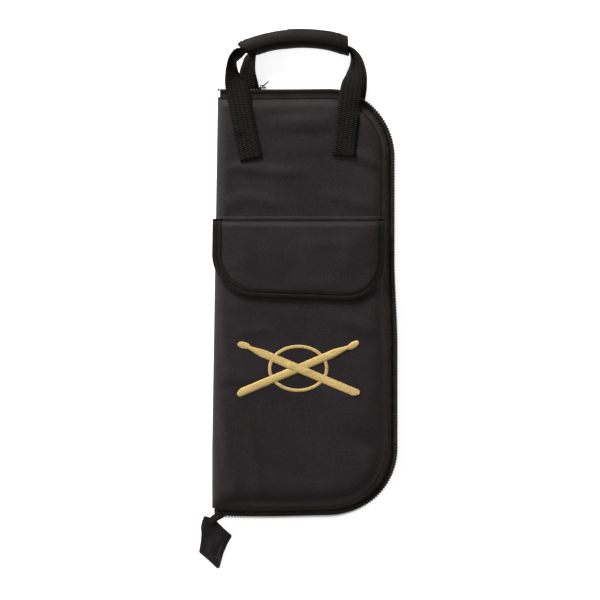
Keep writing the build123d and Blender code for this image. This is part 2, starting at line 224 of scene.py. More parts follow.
def woven(name, dark, light, pitch, roughness, sheen, gloss=0.12, depth=0.00012):
    """Plain weave: warp and weft ribs, slubs, a soft large-scale variation and a light dusty sheen."""
    n = Nodes(name)
    vector, (x, y, z) = n.coordinates()
    across = n.math("ADD", x, n.math("MULTIPLY", z, 0.6))
    along = n.math("ADD", y, n.math("MULTIPLY", z, 0.4))
    warp = n.wave(across, pitch)
    weft = n.wave(along, pitch * 1.15)
    weave = n.math("MULTIPLY", warp, weft)
    slub = n.noise(vector, 900, 2)
    cloud = n.noise(vector, 22, 4)
    tone = n.math("ADD", n.math("MULTIPLY", weave, 0.25), n.math("MULTIPLY", slub, 0.75))
    tone = n.math("ADD", tone, n.math("MULTIPLY", cloud, 0.3))
    colour = n.ramp(tone, 0.38, 0.82, dark, light)
    fine = n.bump(weave, 0.55, depth)
    normal = n.bump(slub, 0.25, depth, fine)
    return n.finish(colour, normal, roughness, slub, sheen, gloss)


def webbing_material():
    """Heavy webbing: five columns of offset ribs, read from the strap's own width and length."""
    n = Nodes("webbing")
    across, along = n.strip_coordinates()
    column_width, rib_pitch = 5.0, 2.3
    column = n.math("FLOOR", n.math("DIVIDE", across, column_width))
    shift = n.math("MULTIPLY", column, math.pi)
    rib = n.wave(along, rib_pitch, shift)
    edge = n.wave(across, column_width)
    yarn = n.wave(across, 0.7)
    height = n.math("ADD", n.math("MULTIPLY", rib, 0.75), n.math("MULTIPLY", edge, 0.35))
    height = n.math("ADD", height, n.math("MULTIPLY", yarn, 0.12))
    vector, _ = n.coordinates()
    cloud = n.noise(vector, 60, 3)
    tone = n.math("ADD", n.math("MULTIPLY", height, 0.6), n.math("MULTIPLY", cloud, 0.3))
    colour = n.ramp(tone, 0.2, 0.95, (0.0022, 0.0018, 0.0017), (0.0192, 0.0162, 0.015))
    normal = n.bump(height, 1.0, 0.0007)
    return n.finish(colour, normal, 0.62, cloud, 0.008, gloss=0.07)


def ribbed_tape(name, dark, light, pitch, sheen, painted_shade=False):
    """Narrow woven tape with fine ribs across its length.

    Painted shade darkens the tape beside the coil and along the handles' end of the bag, where it turns
    away from the light.
    """
    n = Nodes(name)
    across, along = n.strip_coordinates()
    lean = n.math("PINGPONG", across, 1.6)
    rib = n.wave(n.math("ADD", along, lean), pitch)
    vector, _ = n.coordinates()
    cloud = n.noise(vector, 90, 3)
    tone = n.math("ADD", n.math("MULTIPLY", rib, 0.5), n.math("MULTIPLY", cloud, 0.5))
    if painted_shade:
        # Painted shade: darker tape beside the coil and towards the handles' end.
        shade_past, handles_before = 8.5, 165.0
        coil_side = n.math("GREATER_THAN", across, shade_past)
        handle_end = n.math("LESS_THAN", along, handles_before)
        tone = n.math("SUBTRACT", tone, n.math("MULTIPLY", n.math("MAXIMUM", coil_side, handle_end), 0.38))
    colour = n.ramp(tone, 0.1, 0.85, dark, light)
    normal = n.bump(rib, 0.7, 0.00022)
    return n.finish(colour, normal, 0.66, cloud, sheen, gloss=0.1)


def plain(name, dark, light, roughness, scale, sheen=0.0, depth=0.00005, gloss=0.4):
    """Smooth or fuzzy finish whose colour, gloss and relief vary with fine noise."""
    n = Nodes(name)
    vector, _ = n.coordinates()
    grain = n.noise(vector, scale, 4)
    colour = n.ramp(grain, 0.3, 0.75, dark, light)
    normal = n.bump(grain, 0.35, depth)
    return n.finish(colour, normal, roughness, grain, sheen, gloss)


# Each finish has a name, its dark and light colours, and its own scale and roughness.
CLOTH = woven("cover_cloth", (0.0105, 0.0078, 0.0083), (0.0325, 0.0258, 0.0269), 0.00062, 0.6, 0.01)
WRAP = woven(
    "grip_cloth", (0.0050, 0.0038, 0.0032), (0.0142, 0.0114, 0.0098), 0.0005, 0.6, 0.006, gloss=0.09
)
LINING = woven(
    "lining_cloth", (0.006, 0.0055, 0.0056), (0.022, 0.0205, 0.0208), 0.0008, 0.72, 0.01,
    gloss=0.05, depth=0.0002,
)
WEBBING = webbing_material()
BINDING = ribbed_tape("binding_tape", (0.0038, 0.0029, 0.0028), (0.0145, 0.0115, 0.011), 0.9, 0.008)
# The zip tape carries painted shade beside the coil and at the handles' end.
TAPE = ribbed_tape("zip_tape", (0.0045, 0.0035, 0.003), (0.046, 0.0375, 0.0315), 0.8, 0.01, painted_shade=True)
COIL = plain("coil_nylon", (0.02, 0.0165, 0.0135), (0.1, 0.084, 0.07), 0.4, 700, gloss=0.2)
METAL = plain("black_zinc", (0.006, 0.006, 0.006), (0.03, 0.028, 0.026), 0.36, 420, gloss=0.35)
GOLD = plain("gold_thread", (0.50, 0.325, 0.085), (0.90, 0.69, 0.30), 0.4, 900, sheen=0.2)
THREAD = plain("black_thread", (0.004, 0.0035, 0.0033), (0.014, 0.012, 0.0115), 0.5, 1500, gloss=0.12)
FUZZ = plain(
    "hook_and_loop", (0.006, 0.006, 0.006), (0.028, 0.027, 0.027), 0.85, 1600, sheen=0.4, depth=0.0006
)


# ---- Meshes --------------------------------------------------------------------------


def warp_plan(points):
    """The real bag is a little narrower at the top and its long sides aren't quite parallel."""
    x, y = points[:, 0], points[:, 1]
    inside = np.clip((250 - np.abs(y)) / 15, 0, 1)
    down = np.clip((HALF_LENGTH - y) / 395, 0, 1)
    left = 5.2 - 6.4 * down
    step = np.clip((50 - y) / 100, 0, 1)
    right = -2.4 + 3.3 * step * step * (3 - 2 * step)
    share = np.clip((x - SPINE) / (HALF_WIDTH - SPINE), 0, 1)
    moved = points.copy()
    moved[:, 0] = x + inside * ((1 - share) * left + share * right)
    bow = np.where(y > 0, 0.3 * np.sin(x / 31) - 0.45, 0.8 * np.sin(x / 31))
    moved[:, 1] = y + bow * np.clip((np.abs(y) - 150) / 80, 0, 1)
    return moved


def to_mesh(name, points, faces, material, uv=None, warped=True):
    """Blender object from millimetre points, shaded smooth."""
    points = np.asarray(points, float).reshape(-1, 3)
    if warped:
        points = warp_plan(points)
    mesh = bpy.data.meshes.new(name)
    mesh.from_pydata((points * MM).tolist(), [], [tuple(int(i) for i in face) for face in faces])
    mesh.materials.append(material)
    if uv is not None:
        layer = mesh.uv_layers.new(name="UVMap")
        corners = np.empty(len(mesh.loops), int)
        mesh.loops.foreach_get("vertex_index", corners)
        layer.data.foreach_set("uv", np.asarray(uv, float)[corners].astype(np.float32).ravel())
    mesh.polygons.foreach_set("use_smooth", [True] * len(mesh.polygons))
    mesh.validate()
    piece = bpy.data.objects.new(name, mesh)
    bpy.context.scene.collection.objects.link(piece)
    return piece


def thicken(piece, thickness):
    """Give an open sheet its real thickness, in millimetres, on its inner side."""
    solid = piece.modifiers.new("thickness", "SOLIDIFY")
    solid.thickness, solid.offset = thickness * MM, -1.0
    return piece


def grid_faces(rows, columns, closed=False):
    """Quads of a rows by columns grid, closed across the columns if asked."""
    faces = []
    for i in range(rows - 1):
        for j in range(columns if closed else columns - 1):
            k = (j + 1) % columns
            faces.append((i * columns + j, i * columns + k, (i + 1) * columns + k, (i + 1) * columns + j))
    return faces


def capped_faces(rows, count):
    """Faces of a closed tube of rows, with a cap at each end."""
    faces = grid_faces(rows, count, closed=True)
    faces.append(tuple(reversed(range(count))))
    faces.append(tuple(range((rows - 1) * count, rows * count)))
    return faces


def sheet_grid(xs, ys, insets, radius, sides):
    """A rectangle xs by ys with a rounded band round the named sides, given clockwise.

    Returns plan points, each point's inset from the outline, and faces. The last inset is
    the innermost, and all are under radius.
    """
    width, height = len(xs), len(ys)
    points = [(x, y) for y in ys for x in xs]
    inset_of = [radius] * len(points)
    faces = [tuple(reversed(face)) for face in grid_faces(height, width)]
    sequence = {
        "top": (list(range(width)), 90),
        "right": ([i * width + width - 1 for i in range(height)], 0),
        "bottom": ([(height - 1) * width + j for j in reversed(range(width))], -90),
        "left": ([i * width for i in reversed(range(height))], -180),
    }
    ring = []
    arc_steps = 22
    for number, side in enumerate(sides):
        indices, angle = sequence[side]
        if number:
            for step in range(1, arc_steps):
                ring.append((indices[0], angle + 90 - 90 * step / arc_steps))
        ring += [(index, angle) for index in indices]
    levels = [[index for index, _ in ring]]
    for inset in reversed(insets):
        reach = radius - inset
        level = []
        for index, angle in ring:
            base = points[index]
            turn = math.radians(angle)
            level.append(len(points))
            points.append((base[0] + reach * math.cos(turn), base[1] + reach * math.sin(turn)))
            inset_of.append(inset)
        levels.append(level)
    for inner, outer in zip(levels, levels[1:]):
        for k in range(len(ring) - 1):
            face = (outer[k], outer[k + 1], inner[k + 1], inner[k])
            if inner[k] == inner[k + 1]:
                face = face[:3]
            faces.append(tuple(reversed(face)))
    return np.array(points, float), np.array(inset_of, float), faces


def spline(points, step):
    """Smooth curve through rows of numbers whose first three are a place, about step apart."""
    points = np.asarray(points, float)
    padded = np.vstack([2 * points[0] - points[1], points, 2 * points[-1] - points[-2]])
    rows = []
    for a, b, c, d in zip(padded, padded[1:], padded[2:], padded[3:]):
        count = max(2, int(np.linalg.norm(c[:3] - b[:3]) / step))
        for t in np.arange(count) / count:
            linear, square, cube = c - a, 2 * a - 5 * b + 4 * c - d, 3 * b - a - 3 * c + d
            rows.append(0.5 * (2 * b + linear * t + square * t**2 + cube * t**3))
    rows.append(points[-1])
    return np.array(rows)


def unit(vectors):
    """Each vector at length 1."""
    return vectors / np.maximum(np.linalg.norm(vectors, axis=-1, keepdims=True), 1e-9)


def lengths_along(path):
    """Distance along a path at each of its points."""
    steps = np.linalg.norm(np.diff(path, axis=0), axis=1)
    return np.concatenate([[0], np.cumsum(steps)])


def tube(path, radius, sides):
    """Points and faces of a round tube along a path, closed at its ends."""
    path = np.asarray(path, float)
    tangent = unit(np.gradient(path, axis=0))
    up = np.tile([0.0, 0.0, 1.0], (len(path), 1))
    up[np.abs(tangent[:, 2]) > 0.92] = (0.0, 1.0, 0.0)
    side = unit(np.cross(tangent, up))
    normal = np.cross(side, tangent)
    turn = np.arange(sides) * 2 * math.pi / sides
    radius = np.broadcast_to(np.asarray(radius, float), (len(path),))[:, None, None]
    cosine, sine = np.cos(turn)[None, :, None], np.sin(turn)[None, :, None]
    ring = side[:, None, :] * cosine + normal[:, None, :] * sine
    points = (path[:, None, :] + ring * radius).reshape(-1, 3)
    return points, capped_faces(len(path), sides)


def merge(parts):
    """One point and face list from several."""
    points, faces, start = [], [], 0
    for some_points, some_faces in parts:
        points.append(some_points)
        faces += [tuple(i + start for i in face) for face in some_faces]
        start += len(some_points)
    return np.vstack(points), faces


def stitches(name, lines, pitch, body, thickness=0.34, warped=True):
    """Running stitches along lines: one short capsule of thread for each stitch."""
    parts = []
    for line in lines:
        line = np.asarray(line, float)
        along = lengths_along(line)
        for start in np.arange(pitch * 0.3, along[-1] - pitch * 0.6, pitch):
            spots = start + pitch * np.array([0.0, 0.12, 0.36, 0.6, 0.72])
            place = np.stack([np.interp(spots, along, line[:, k]) for k in range(3)], axis=1)
            place[:, 2] += thickness * np.array([-0.9, 0.25, 0.5, 0.25, -0.9])
            parts.append(tube(place, thickness * np.array([0.5, 0.9, 1.0, 0.9, 0.5]), 6))
    points, faces = merge(parts)
    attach(to_mesh(name, points, faces, THREAD, warped=warped), body)


# ---- Surfaces of the padded covers ---------------------------------------------------


def smooth(value, low, high):
    """Soft step from 0 at low to 1 at high."""
    t = np.clip((np.asarray(value, float) - low) / (high - low), 0, 1)
    return t * t * (3 - 2 * t)


def inset_at(x, y):
    """Distance in from the zipped outline."""
    return CORNER_RADIUS - np.hypot(np.maximum(x - CORE_X, 0), np.maximum(np.abs(y) - CORE_Y, 0))


def cloud(x, y, scale, seed):
    """Seeded smooth noise over the plan, from -1 to 1."""
    places = zip(np.ravel(x) / scale, np.ravel(y) / scale)
    return np.array([noise.noise(Vector((a, b, seed))) for a, b in places])


FRONT_FOLDS = (
    # from x, y to x, y, half width, height
    (-50, 194, 28, 198, 5.5, 2.2),
    (-44, 183, 26, 182, 5.0, -0.9),
    (-30, 214, 20, 212, 6.0, -1.2),
    (-20, 172, 34, 166, 6.0, 1.0),
    (-92, 150, -62, 146, 6.0, 1.3),
    (-66, 146, -20, 140, 6.5, 1.0),
    (-98, 196, -76, 186, 4.5, 1.8),
    (-98, 168, -84, 150, 5.0, -1.1),
    (50, 166, 92, 142, 5.0, 2.4),
    (56, 150, 92, 124, 5.0, -1.0),
    (60, 205, 84, 176, 7.0, 1.2),
    (-98, 212, -80, 226, 5.0, 1.4),
    (20, -94, 62, -146, 8.0, 2.3),
    (36, -84, 78, -128, 7.0, -1.2),
    (-62, -128, -48, -218, 8.0, 1.8),
    (-90, -110, -84, -190, 6.0, 1.2),
    (-20, -200, 40, -206, 8.0, 1.4),
    (66, -160, 80, -190, 6.0, 1.2),
    (76, -4, 86, -70, 6.0, 1.5),
    (-92, -20, -82, -90, 6.0, 1.0),
    (30, -14, 72, -34, 7.0, 1.2),
    (-80, 118, -30, 106, 7.0, 0.9),
    (20, 120, 70, 104, 7.0, 0.9),
)
FLAP_FOLDS = (
    (-72, 74, -60, 40, 8.0, 1.1),
    (-46, 70, -26, 30, 9.0, 0.8),
    (58, 74, 40, 36, 9.0, 1.1),
    (0, 62, 50, 66, 8.0, 0.7),
    (-20, 22, 40, 18, 7.0, 0.8),
)


def folds(x, y, table):
    """Height of soft creases, each along a short line that fades at its ends."""
    total = np.zeros_like(x)
    for x0, y0, x1, y1, width, height in table:
        dx, dy = x1 - x0, y1 - y0
        length = math.hypot(dx, dy)
        along = ((x - x0) * dx + (y - y0) * dy) / length**2
        across = ((x - x0) * dy - (y - y0) * dx) / length
        fade = smooth(along, -0.25, 0.25) * smooth(along, 1.25, 0.75)
        total += 1.35 * height * np.exp(-((across / width) ** 2)) * fade
    return total


def rim_position(x, y):
    """Length along the zipped outline of the nearest rim point, for puckers that follow the seam."""
    bend_radius, straight_start = 50, 118
    beyond = np.abs(y) - CORE_Y
    turn = np.arctan2(np.maximum(beyond, 0), np.maximum(x - CORE_X, 1e-6))
    end = np.where(x > CORE_X, (math.pi / 2 - turn) * bend_radius, x - CORE_X)
    run = np.where(beyond > 0, end, straight_start - beyond)
    return np.where(y >= 0, run, -run)


def plain_relief(x, y):
    """Creases, seam puckers and soft unevenness of the padded front."""
    inset = inset_at(x, y)
    beside_seam = np.exp(-((inset - 12) / 7.0) ** 2)
    pucker = np.sin(rim_position(x, y) / 5.2 + 2.5 * cloud(x, y, 28, 3.1)) * beside_seam
    calm = smooth(inset, 10, 30)
    uneven = 1.3 * cloud(x, y, 60, 7.7) + 0.55 * cloud(x, y, 22, 1.9) + 0.16 * cloud(x, y, 9, 4.6)
    return folds(x, y, FRONT_FOLDS) * calm + 0.4 * pucker + uneven * calm


def roll_off(x, reach=PAD):
    """Quarter round from the middle of the spine on to a cover, from 0 to 1."""
    t = np.clip((x - SPINE) / reach, 0, 1)
    return np.sqrt(np.maximum(1 - (1 - t) ** 2, 0))


def shoulder(inset, edge=0.27, width=17.0):
    """Rise of a padded cover from its zipped edge, from edge to 1."""
    t = np.clip((inset - TAPE_INSET) / width, 0, 1)
    return edge + (1 - edge) * (1 - (1 - t) ** 2.6)


def bare_front_z(x, y):
    """The padded front before the cloth has settled over it."""
    rise = roll_off(x) * shoulder(inset_at(x, y))
    return FOLD_Z + PAD * rise + plain_relief(x, y) * smooth(rise, 0.3, 0.9)


SETTLED = {}


def front_z(x, y):
    """Outer surface of the front cover, with the creases that the cloth settled into."""
    x, y = np.asarray(x, float), np.asarray(y, float)
    height = bare_front_z(x, y)
    if not SETTLED:
        return height
    extra = []
    for a, b in zip(x, y):
        near = SETTLED["tree"].find_n((a, b, 0), 6)
        weights = np.array([1 / (distance + 1.2) ** 2 for _, _, distance in near])
        extra.append(np.dot(weights, [SETTLED["height"][index] for _, index, _ in near]) / weights.sum())
    return height + np.array(extra)


def pocket_lift(x, y):
    """How far the outer pocket stands off the front cover."""
    fill = smooth(x, SPINE + 2, SPINE + 30) * smooth(inset_at(x, y), 10, 34)
    return 1.0 + 3.8 * fill + 0.7 * fill * cloud(x, y, 45, 5.5)


def pocket_z(x, y):
    """Outer surface of the pocket panel."""
    x, y = np.asarray(x, float), np.asarray(y, float)
    return front_z(x, y) + pocket_lift(x, y)


def flap_z(x, y):
    """Outer surface of the flap, which bridges the rounded edges of the bag."""
    x, y = np.asarray(x, float), np.asarray(y, float)
    reach = np.clip(x, SPINE, HALF_WIDTH)
    side = roll_off(reach + 9, PAD + 9) * shoulder(inset_at(x, np.clip(y, -60, 120)) + 7)
    low = smooth(y, FLAP_TOP - 1, FLAP_TOP - 8)
    lift = 1.3 + 1.0 * low + pocket_lift(x, np.minimum(y, POCKET_TOP)) * low
    down = FLAP_TOP - SEAM_DROP - y
    seam = 0.2 * np.exp(-(((down - 1.4) / 3.0) ** 2)) - 1.2 * np.exp(-((down / 1.1) ** 2))
    soft = 0.5 * cloud(x, y, 40, 9.3) + 0.35 * cloud(x, y, 16, 4.4) * smooth(y, 30, 5)
    soft += folds(x, y, FLAP_FOLDS)
    high = FOLD_Z + PAD * side + folds(x, y, FRONT_FOLDS) * 0.4 + lift + seam + soft
    return np.maximum(high, front_z(x, y) + lift + seam)


def back_z(x, y):
    """Outer surface of the back cover, flat where the bag rests."""
    x, y = np.asarray(x, float), np.asarray(y, float)
    rise = roll_off(x) * shoulder(inset_at(x, y))
    strap = np.exp(-(((x + 63) / 15) ** 4)) + np.exp(-(((x - 46) / 15) ** 4))
    dent = 1.7 * strap * smooth(y, 150, 157)
    return FOLD_Z - (PAD - 0.5) * rise + dent * smooth(rise, 0.8, 1.0)


EDGE_INSETS = (9.0, 10.0, 11.2, 12.8, 14.8, 17.5, 21.0, 26.0, 32.0, 39.0, 47.0, 56.0, 66.0)
SPINE_STEPS = [SPINE + PAD * (1 - math.cos(math.radians(a))) for a in range(0, 91, 10)]


def cover_plan(step, top=None, left_steps=SPINE_STEPS, insets=EDGE_INSETS):
    """Grid over a whole cover, or over the part of it below top."""
    xs = list(left_steps) + list(np.arange(left_steps[-1] + step, CORE_X - step / 2, step)) + [CORE_X]
    high = CORE_Y if top is None else top
    ys = list(np.arange(high, -CORE_Y + step / 2, -step)) + [-CORE_Y]
    sides = ("top", "right", "bottom") if top is None else ("right", "bottom")
    return sheet_grid(xs, ys, insets, CORNER_RADIUS, sides)


def flip(faces):
    """The same faces, turned to look the other way."""
    return [tuple(reversed(face)) for face in faces]


def settle_cloth():
    """Cloth simulation of the front cover: slightly too much cloth settles on the pad and creases."""
    scene = bpy.context.scene
    plan, inset, faces = cover_plan(4.0)
    x, y = plan.T
    start = np.column_stack([x, y, bare_front_z(x, y)])
    rise = roll_off(x) * shoulder(inset)
    scale = 10 * MM
    pad_top = FOLD_Z + PAD * rise
    whole = [tuple(int(i) for i in face) for face in faces]
    pieces = []
    for name, height in (("pad", pad_top - 0.5), ("cloth", np.maximum(start[:, 2], pad_top - 0.2))):
        mesh = bpy.data.meshes.new(name)
        mesh.from_pydata((np.column_stack([x, y, height]) * scale).tolist(), [], whole)
        piece = bpy.data.objects.new(name, mesh)
        scene.collection.objects.link(piece)
        pieces.append(piece)
    pad, cloth = pieces
    pad.modifiers.new("collision", "COLLISION")
    pad.collision.thickness_outer = 0.002
    pins = cloth.vertex_groups.new(name="pins")
    spare = cloth.vertex_groups.new(name="spare")
    top = smooth(y, 110, 175) * smooth(y, 232, 205)
    low = 0.8 * smooth(x, 0, 40) * smooth(y, -70, -110) * smooth(y, -215, -170)
    for index in range(len(x)):
        if inset[index] < 12 or x[index] < SPINE + 5:
            pins.add([index], 1.0, "REPLACE")
        spare.add([index], float(min(top[index] + low[index], 1.0)), "REPLACE")
    modifier = cloth.modifiers.new("cloth", "CLOTH")
    settings = modifier.settings
    settings.quality = 6
    settings.tension_stiffness = settings.compression_stiffness = 20
    settings.shear_stiffness = 8
    settings.bending_stiffness = 5
    settings.air_damping = 3
    settings.vertex_group_mass = "pins"
    settings.vertex_group_shrink = "spare"
    settings.shrink_min = -0.005
    settings.shrink_max = -0.022
    settings.effector_weights.gravity = 0.3
    modifier.collision_settings.distance_min = 0.003
    modifier.collision_settings.use_self_collision = False
    last_frame = 24
    for number in range(1, last_frame + 1):
        scene.frame_set(number)
    settled = cloth.evaluated_get(bpy.context.evaluated_depsgraph_get()).to_mesh()
    after = np.empty(3 * len(settled.vertices), np.float32)
    settled.vertices.foreach_get("co", after)
    change = after.reshape(-1, 3)[:, 2] / scale - start[:, 2]
    lowest, highest = -0.6, 2.6
    change = np.clip(change, lowest, highest) * smooth(inset, 10, 20)
    scene.frame_set(1)
    for piece in pieces:
        bpy.data.objects.remove(piece)
    tree = KDTree(len(x))
    for index, (a, b) in enumerate(plan):
        tree.insert((a, b, 0), index)
    tree.balance()
    SETTLED.update(tree=tree, height=change)


settle_cloth()


def build_covers():
    """Padded skins of both covers, which meet in the middle of the spine, and their linings."""
    plan, _, faces = cover_plan(4.0)
    x, y = plan.T
    front = to_mesh("front_cover_skin", np.column_stack([x, y, front_z(x, y)]), faces, CLOTH)
    back = to_mesh("back_cover_skin", np.column_stack([x, y, back_z(x, y)]), flip(faces), CLOTH)
    for piece in (front, back):
        thicken(piece, 1.0)
    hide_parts("front_cover_cloth", "spine_cloth")
    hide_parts("back_cover_cloth")
    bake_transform(front)
    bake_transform(back)

    inner_steps = [SPINE + 2.2 + 11 * (1 - math.cos(math.radians(a))) for a in range(0, 91, 15)]
    plan, _, faces = cover_plan(6.0, left_steps=inner_steps, insets=(10.5, 12, 14, 17, 21, 27, 36, 48, 62))
    x, y = plan.T
    t = np.clip((x - inner_steps[0]) / 11, 0, 1)
    rise = np.sqrt(np.maximum(1 - (1 - t) ** 2, 0)) * shoulder(inset_at(x, y), 0.2, 12)
    ripple = (0.35 * cloud(x, y, 30, 2.2) + 0.3 * cloud(x, y, 11, 3.7)) * smooth(inset_at(x, y), 12, 30)
    depth = 8.3 * rise + ripple
    front = to_mesh("front_lining_sheet", np.column_stack([x, y, FOLD_Z + depth]), flip(faces), LINING)
    back = to_mesh("back_lining_sheet", np.column_stack([x, y, FOLD_Z - depth]), faces, LINING)
    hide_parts("front_cover_lining", "front_cover_foam", "spine_lining")
    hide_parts("back_cover_lining", "back_cover_foam")
    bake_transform(front)
    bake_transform(back)
    for piece in (front, back):
        thicken(piece, 0.4)


build_covers()


# ---- Zip: tapes, coil and stitching --------------------------------------------------


def rim(step, start=SPINE + 2.5):
    """Base points and outward directions along the zipped outline, from the spine round to the spine."""
    xs = np.arange(start, CORE_X, step)
    ys = np.arange(CORE_Y, -CORE_Y, -step)
    turns = np.radians(np.arange(90, 0, -step / CORNER_RADIUS * 57.3))
    base = [(x, CORE_Y, 90.0) for x in xs] + [(CORE_X, CORE_Y, math.degrees(t)) for t in turns]
    base += [(CORE_X, y, 0.0) for y in ys] + [(CORE_X, -CORE_Y, -90 + math.degrees(t)) for t in turns]
    base += [(x, -CORE_Y, -90.0) for x in xs[::-1]]
    base = np.array(base)
    angle = np.radians(base[:, 2])
    return base[:, :2], np.column_stack([np.cos(angle), np.sin(angle)])


# Inset and rise above the fold of each line along the front tape, where the zip faces the
# side at the handles, where it turns to the front down the long side, and along the bottom.
TAPE_ON_COVER = (
    ((11.4, 0.15), (14.6, 0.15), (12.2, 0.15)),
    ((11.0, 0.75), (14.2, 0.75), (11.8, 0.75)),
    ((9.4, 0.85), (12.0, 0.85), (10.0, 0.85)),
)
TAPE_OFF_COVER = (
    ((7.0, 3.35), (10.2, 5.2), (8.2, 4.2)),
    ((5.6, 2.75), (8.3, 4.4), (7.2, 3.2)),
    ((4.9, 2.35), (6.6, 3.0), (6.4, 2.2)),
    ((4.2, 2.75), (5.6, 1.4), (5.6, 1.2)),
    ((3.4, 3.05), (4.4, 0.55), (4.4, 0.5)),
    ((2.5, 3.00), (3.3, 0.45), (3.3, 0.45)),
    ((1.6, 2.50), (2.3, 0.40), (2.3, 0.40)),
    ((0.9, 1.75), (1.4, 0.35), (1.4, 0.35)),
)


def along_zip(line, profile):
    """Inset and rise at each point of the rim, between the profile's three places."""
    run = lengths_along(line)
    side = smooth(run, 128, 205)
    bottom = smooth(run, 590, 690)
    weights = (1 - side, side - bottom, bottom)
    return [sum(w * place[k] for w, place in zip(weights, profile)) for k in range(2)]


def tape_lines(surface, sign, step=1.6):
    """Lines along the tape from its sewn edge on the cover to its edge at the coil."""
    base, out = rim(step)
    lines = []
    for profile in TAPE_ON_COVER + TAPE_OFF_COVER:
        places = profile if sign > 0 else profile[:1] * 3
        inset, rise = along_zip(base + out * CORNER_RADIUS, places)
        x, y = (base + out * (CORNER_RADIUS - inset)[:, None]).T
        if profile in TAPE_ON_COVER:
            height = surface(x, y) + sign * rise
        else:
            pucker = 0.35 * np.sin(rim_position(x, y) / 0.95 + 3 * cloud(x, y, 17, 6.1))
            uneven = 0.2 * cloud(x, y, 14, 6.1) + pucker * smooth(inset, 3, 7)
            height = FOLD_Z + sign * (rise + uneven)
        lines.append(np.column_stack([x, y, height]))
    return lines


def bind(piece, body, slot, *nodes):
    """Tie a piece to its body and hide the CAD nodes it stands in for; the slot is not used."""
    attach(piece, body)
    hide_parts(*nodes)


def build_zip():
    """A tape sewn on to each cover, with its coil row along its outer edge."""
    for cover, surface, sign, width in (("front", front_z, 1, 0.0165), ("back", back_z, -1, 0.014)):
        lines = tape_lines(surface, sign)
        along = lengths_along(lines[0])
        uv = [(2.0 * row, v) for row in range(len(lines)) for v in along]
        faces = grid_faces(len(lines), len(along))
        if sign > 0:
            faces = flip(faces)
        tape = to_mesh(f"zip_tape_{cover}_cloth", np.vstack(lines), faces, TAPE, uv)
        thicken(tape, 0.5)
        bind(tape, f"{cover}_half", "zip_tape", f"zip_tape_{cover}")
        seam = (lines[2] * 0.6 + lines[3] * 0.4) + np.array([0, 0, sign * 0.25])
        stitches(f"zip_stitches_{cover}", [seam], 3.1, f"{cover}_half", 0.27 * sign)


def build_coil():
    """One continuous coil to each row, its turns a half pitch apart from the other row's."""
    pitch, sample = 3.2, 12
    half_width, half_height, thread = 1.35, 1.3, 0.5
    base, out = rim(1.0)
    along = lengths_along(base + out * CORNER_RADIUS)
    turns = int(along[-1] / pitch)
    phase = np.arange(turns * sample) / sample
    where = phase * pitch

    def follow(values):
        return np.interp(where, along, values)

    for cover, sign, offset, profile in (
        ("front", 1, 0.0, ((1.5, 1.45), (3.3, 2.35), (3.7, 2.1))),
        ("back", -1, 0.5, ((1.5, 1.45), (1.35, 0.4), (0.3, -0.5))),
    ):
        inset, rise = along_zip(base + out * CORNER_RADIUS, profile)
        centre = base + out * (CORNER_RADIUS - inset)[:, None]
        outward = np.column_stack([follow(out[:, 0]), follow(out[:, 1])])
        angle = 2 * math.pi * (phase + offset)
        plan = np.column_stack([follow(centre[:, 0]), follow(centre[:, 1])])
        plan += outward * (half_width * np.cos(angle))[:, None]
        height = FOLD_Z + sign * (follow(rise) + half_height * np.sin(angle))
        points, faces = tube(np.column_stack([plan, height]), thread, 5)
        coil = to_mesh(f"zip_coil_{cover}_turns", points, faces, COIL)
        bind(coil, f"{cover}_half", "coil", f"zip_coil_{cover}")


build_zip()
build_coil()


# ---- Outer pocket, flap and binding --------------------------------------------------


def across_row(xs, y, surface, lift):
    """Points across the bag at one y, a little above a surface."""
    ys = np.full_like(xs, y)
    return np.column_stack([xs, ys, surface(xs, ys) + lift])


def build_pocket():
    """Pocket panel over the lower front, open under the flap."""
    left = [SPINE + 2.6 + 8 * (1 - math.cos(math.radians(a))) for a in range(0, 91, 15)]
    plan, _, faces = cover_plan(4.0, top=POCKET_TOP, left_steps=left, insets=EDGE_INSETS[1:])
    x, y = plan.T
    panel = to_mesh("outer_pocket_panel", np.column_stack([x, y, pocket_z(x, y)]), faces, CLOTH)
    thicken(panel, 0.8)
    bind(panel, "front_half", "cover_cloth", "outer_pocket")

    xs = np.arange(left[0], 88, 3.0)
    profile = ((-1.0, 0.5), (0.0, 0.9), (5.0, 0.9), (6.0, 0.4))
    rows = [across_row(xs, POCKET_TOP - d, pocket_z, lift) for d, lift in profile]
    uv = [(d, v) for d, _ in profile for v in xs]
    hem = to_mesh("pocket_mouth_hem", np.vstack(rows), flip(grid_faces(len(rows), len(xs))), BINDING, uv)
    thicken(hem, 0.5)
    bind(hem, "front_half", "binding", "outer_pocket_hem")


def flap_plan(step, insets):
    """Grid over the flap, with close rows at its seam."""
    left, right = FLAP_LEFT + FLAP_RADIUS, FLAP_RIGHT - FLAP_RADIUS
    xs = list(np.linspace(left, right, int((right - left) / step)))
    ys = [FLAP_TOP - d for d in (0, 0.7, 1.3, 1.8, 2.3, 2.8, 3.4, 4.2, 5.5, 7.5, 10.5)]
    ys += list(np.linspace(FLAP_TOP - 14, FLAP_BOTTOM + FLAP_RADIUS, 8))
    return sheet_grid(xs, ys, insets, FLAP_RADIUS, ("right", "bottom", "left"))


def hang(x, y):
    """The flap's lower edge dips towards the zip."""
    return y - (0.038 * x + 1.2) * smooth(y, FLAP_TOP, FLAP_BOTTOM)


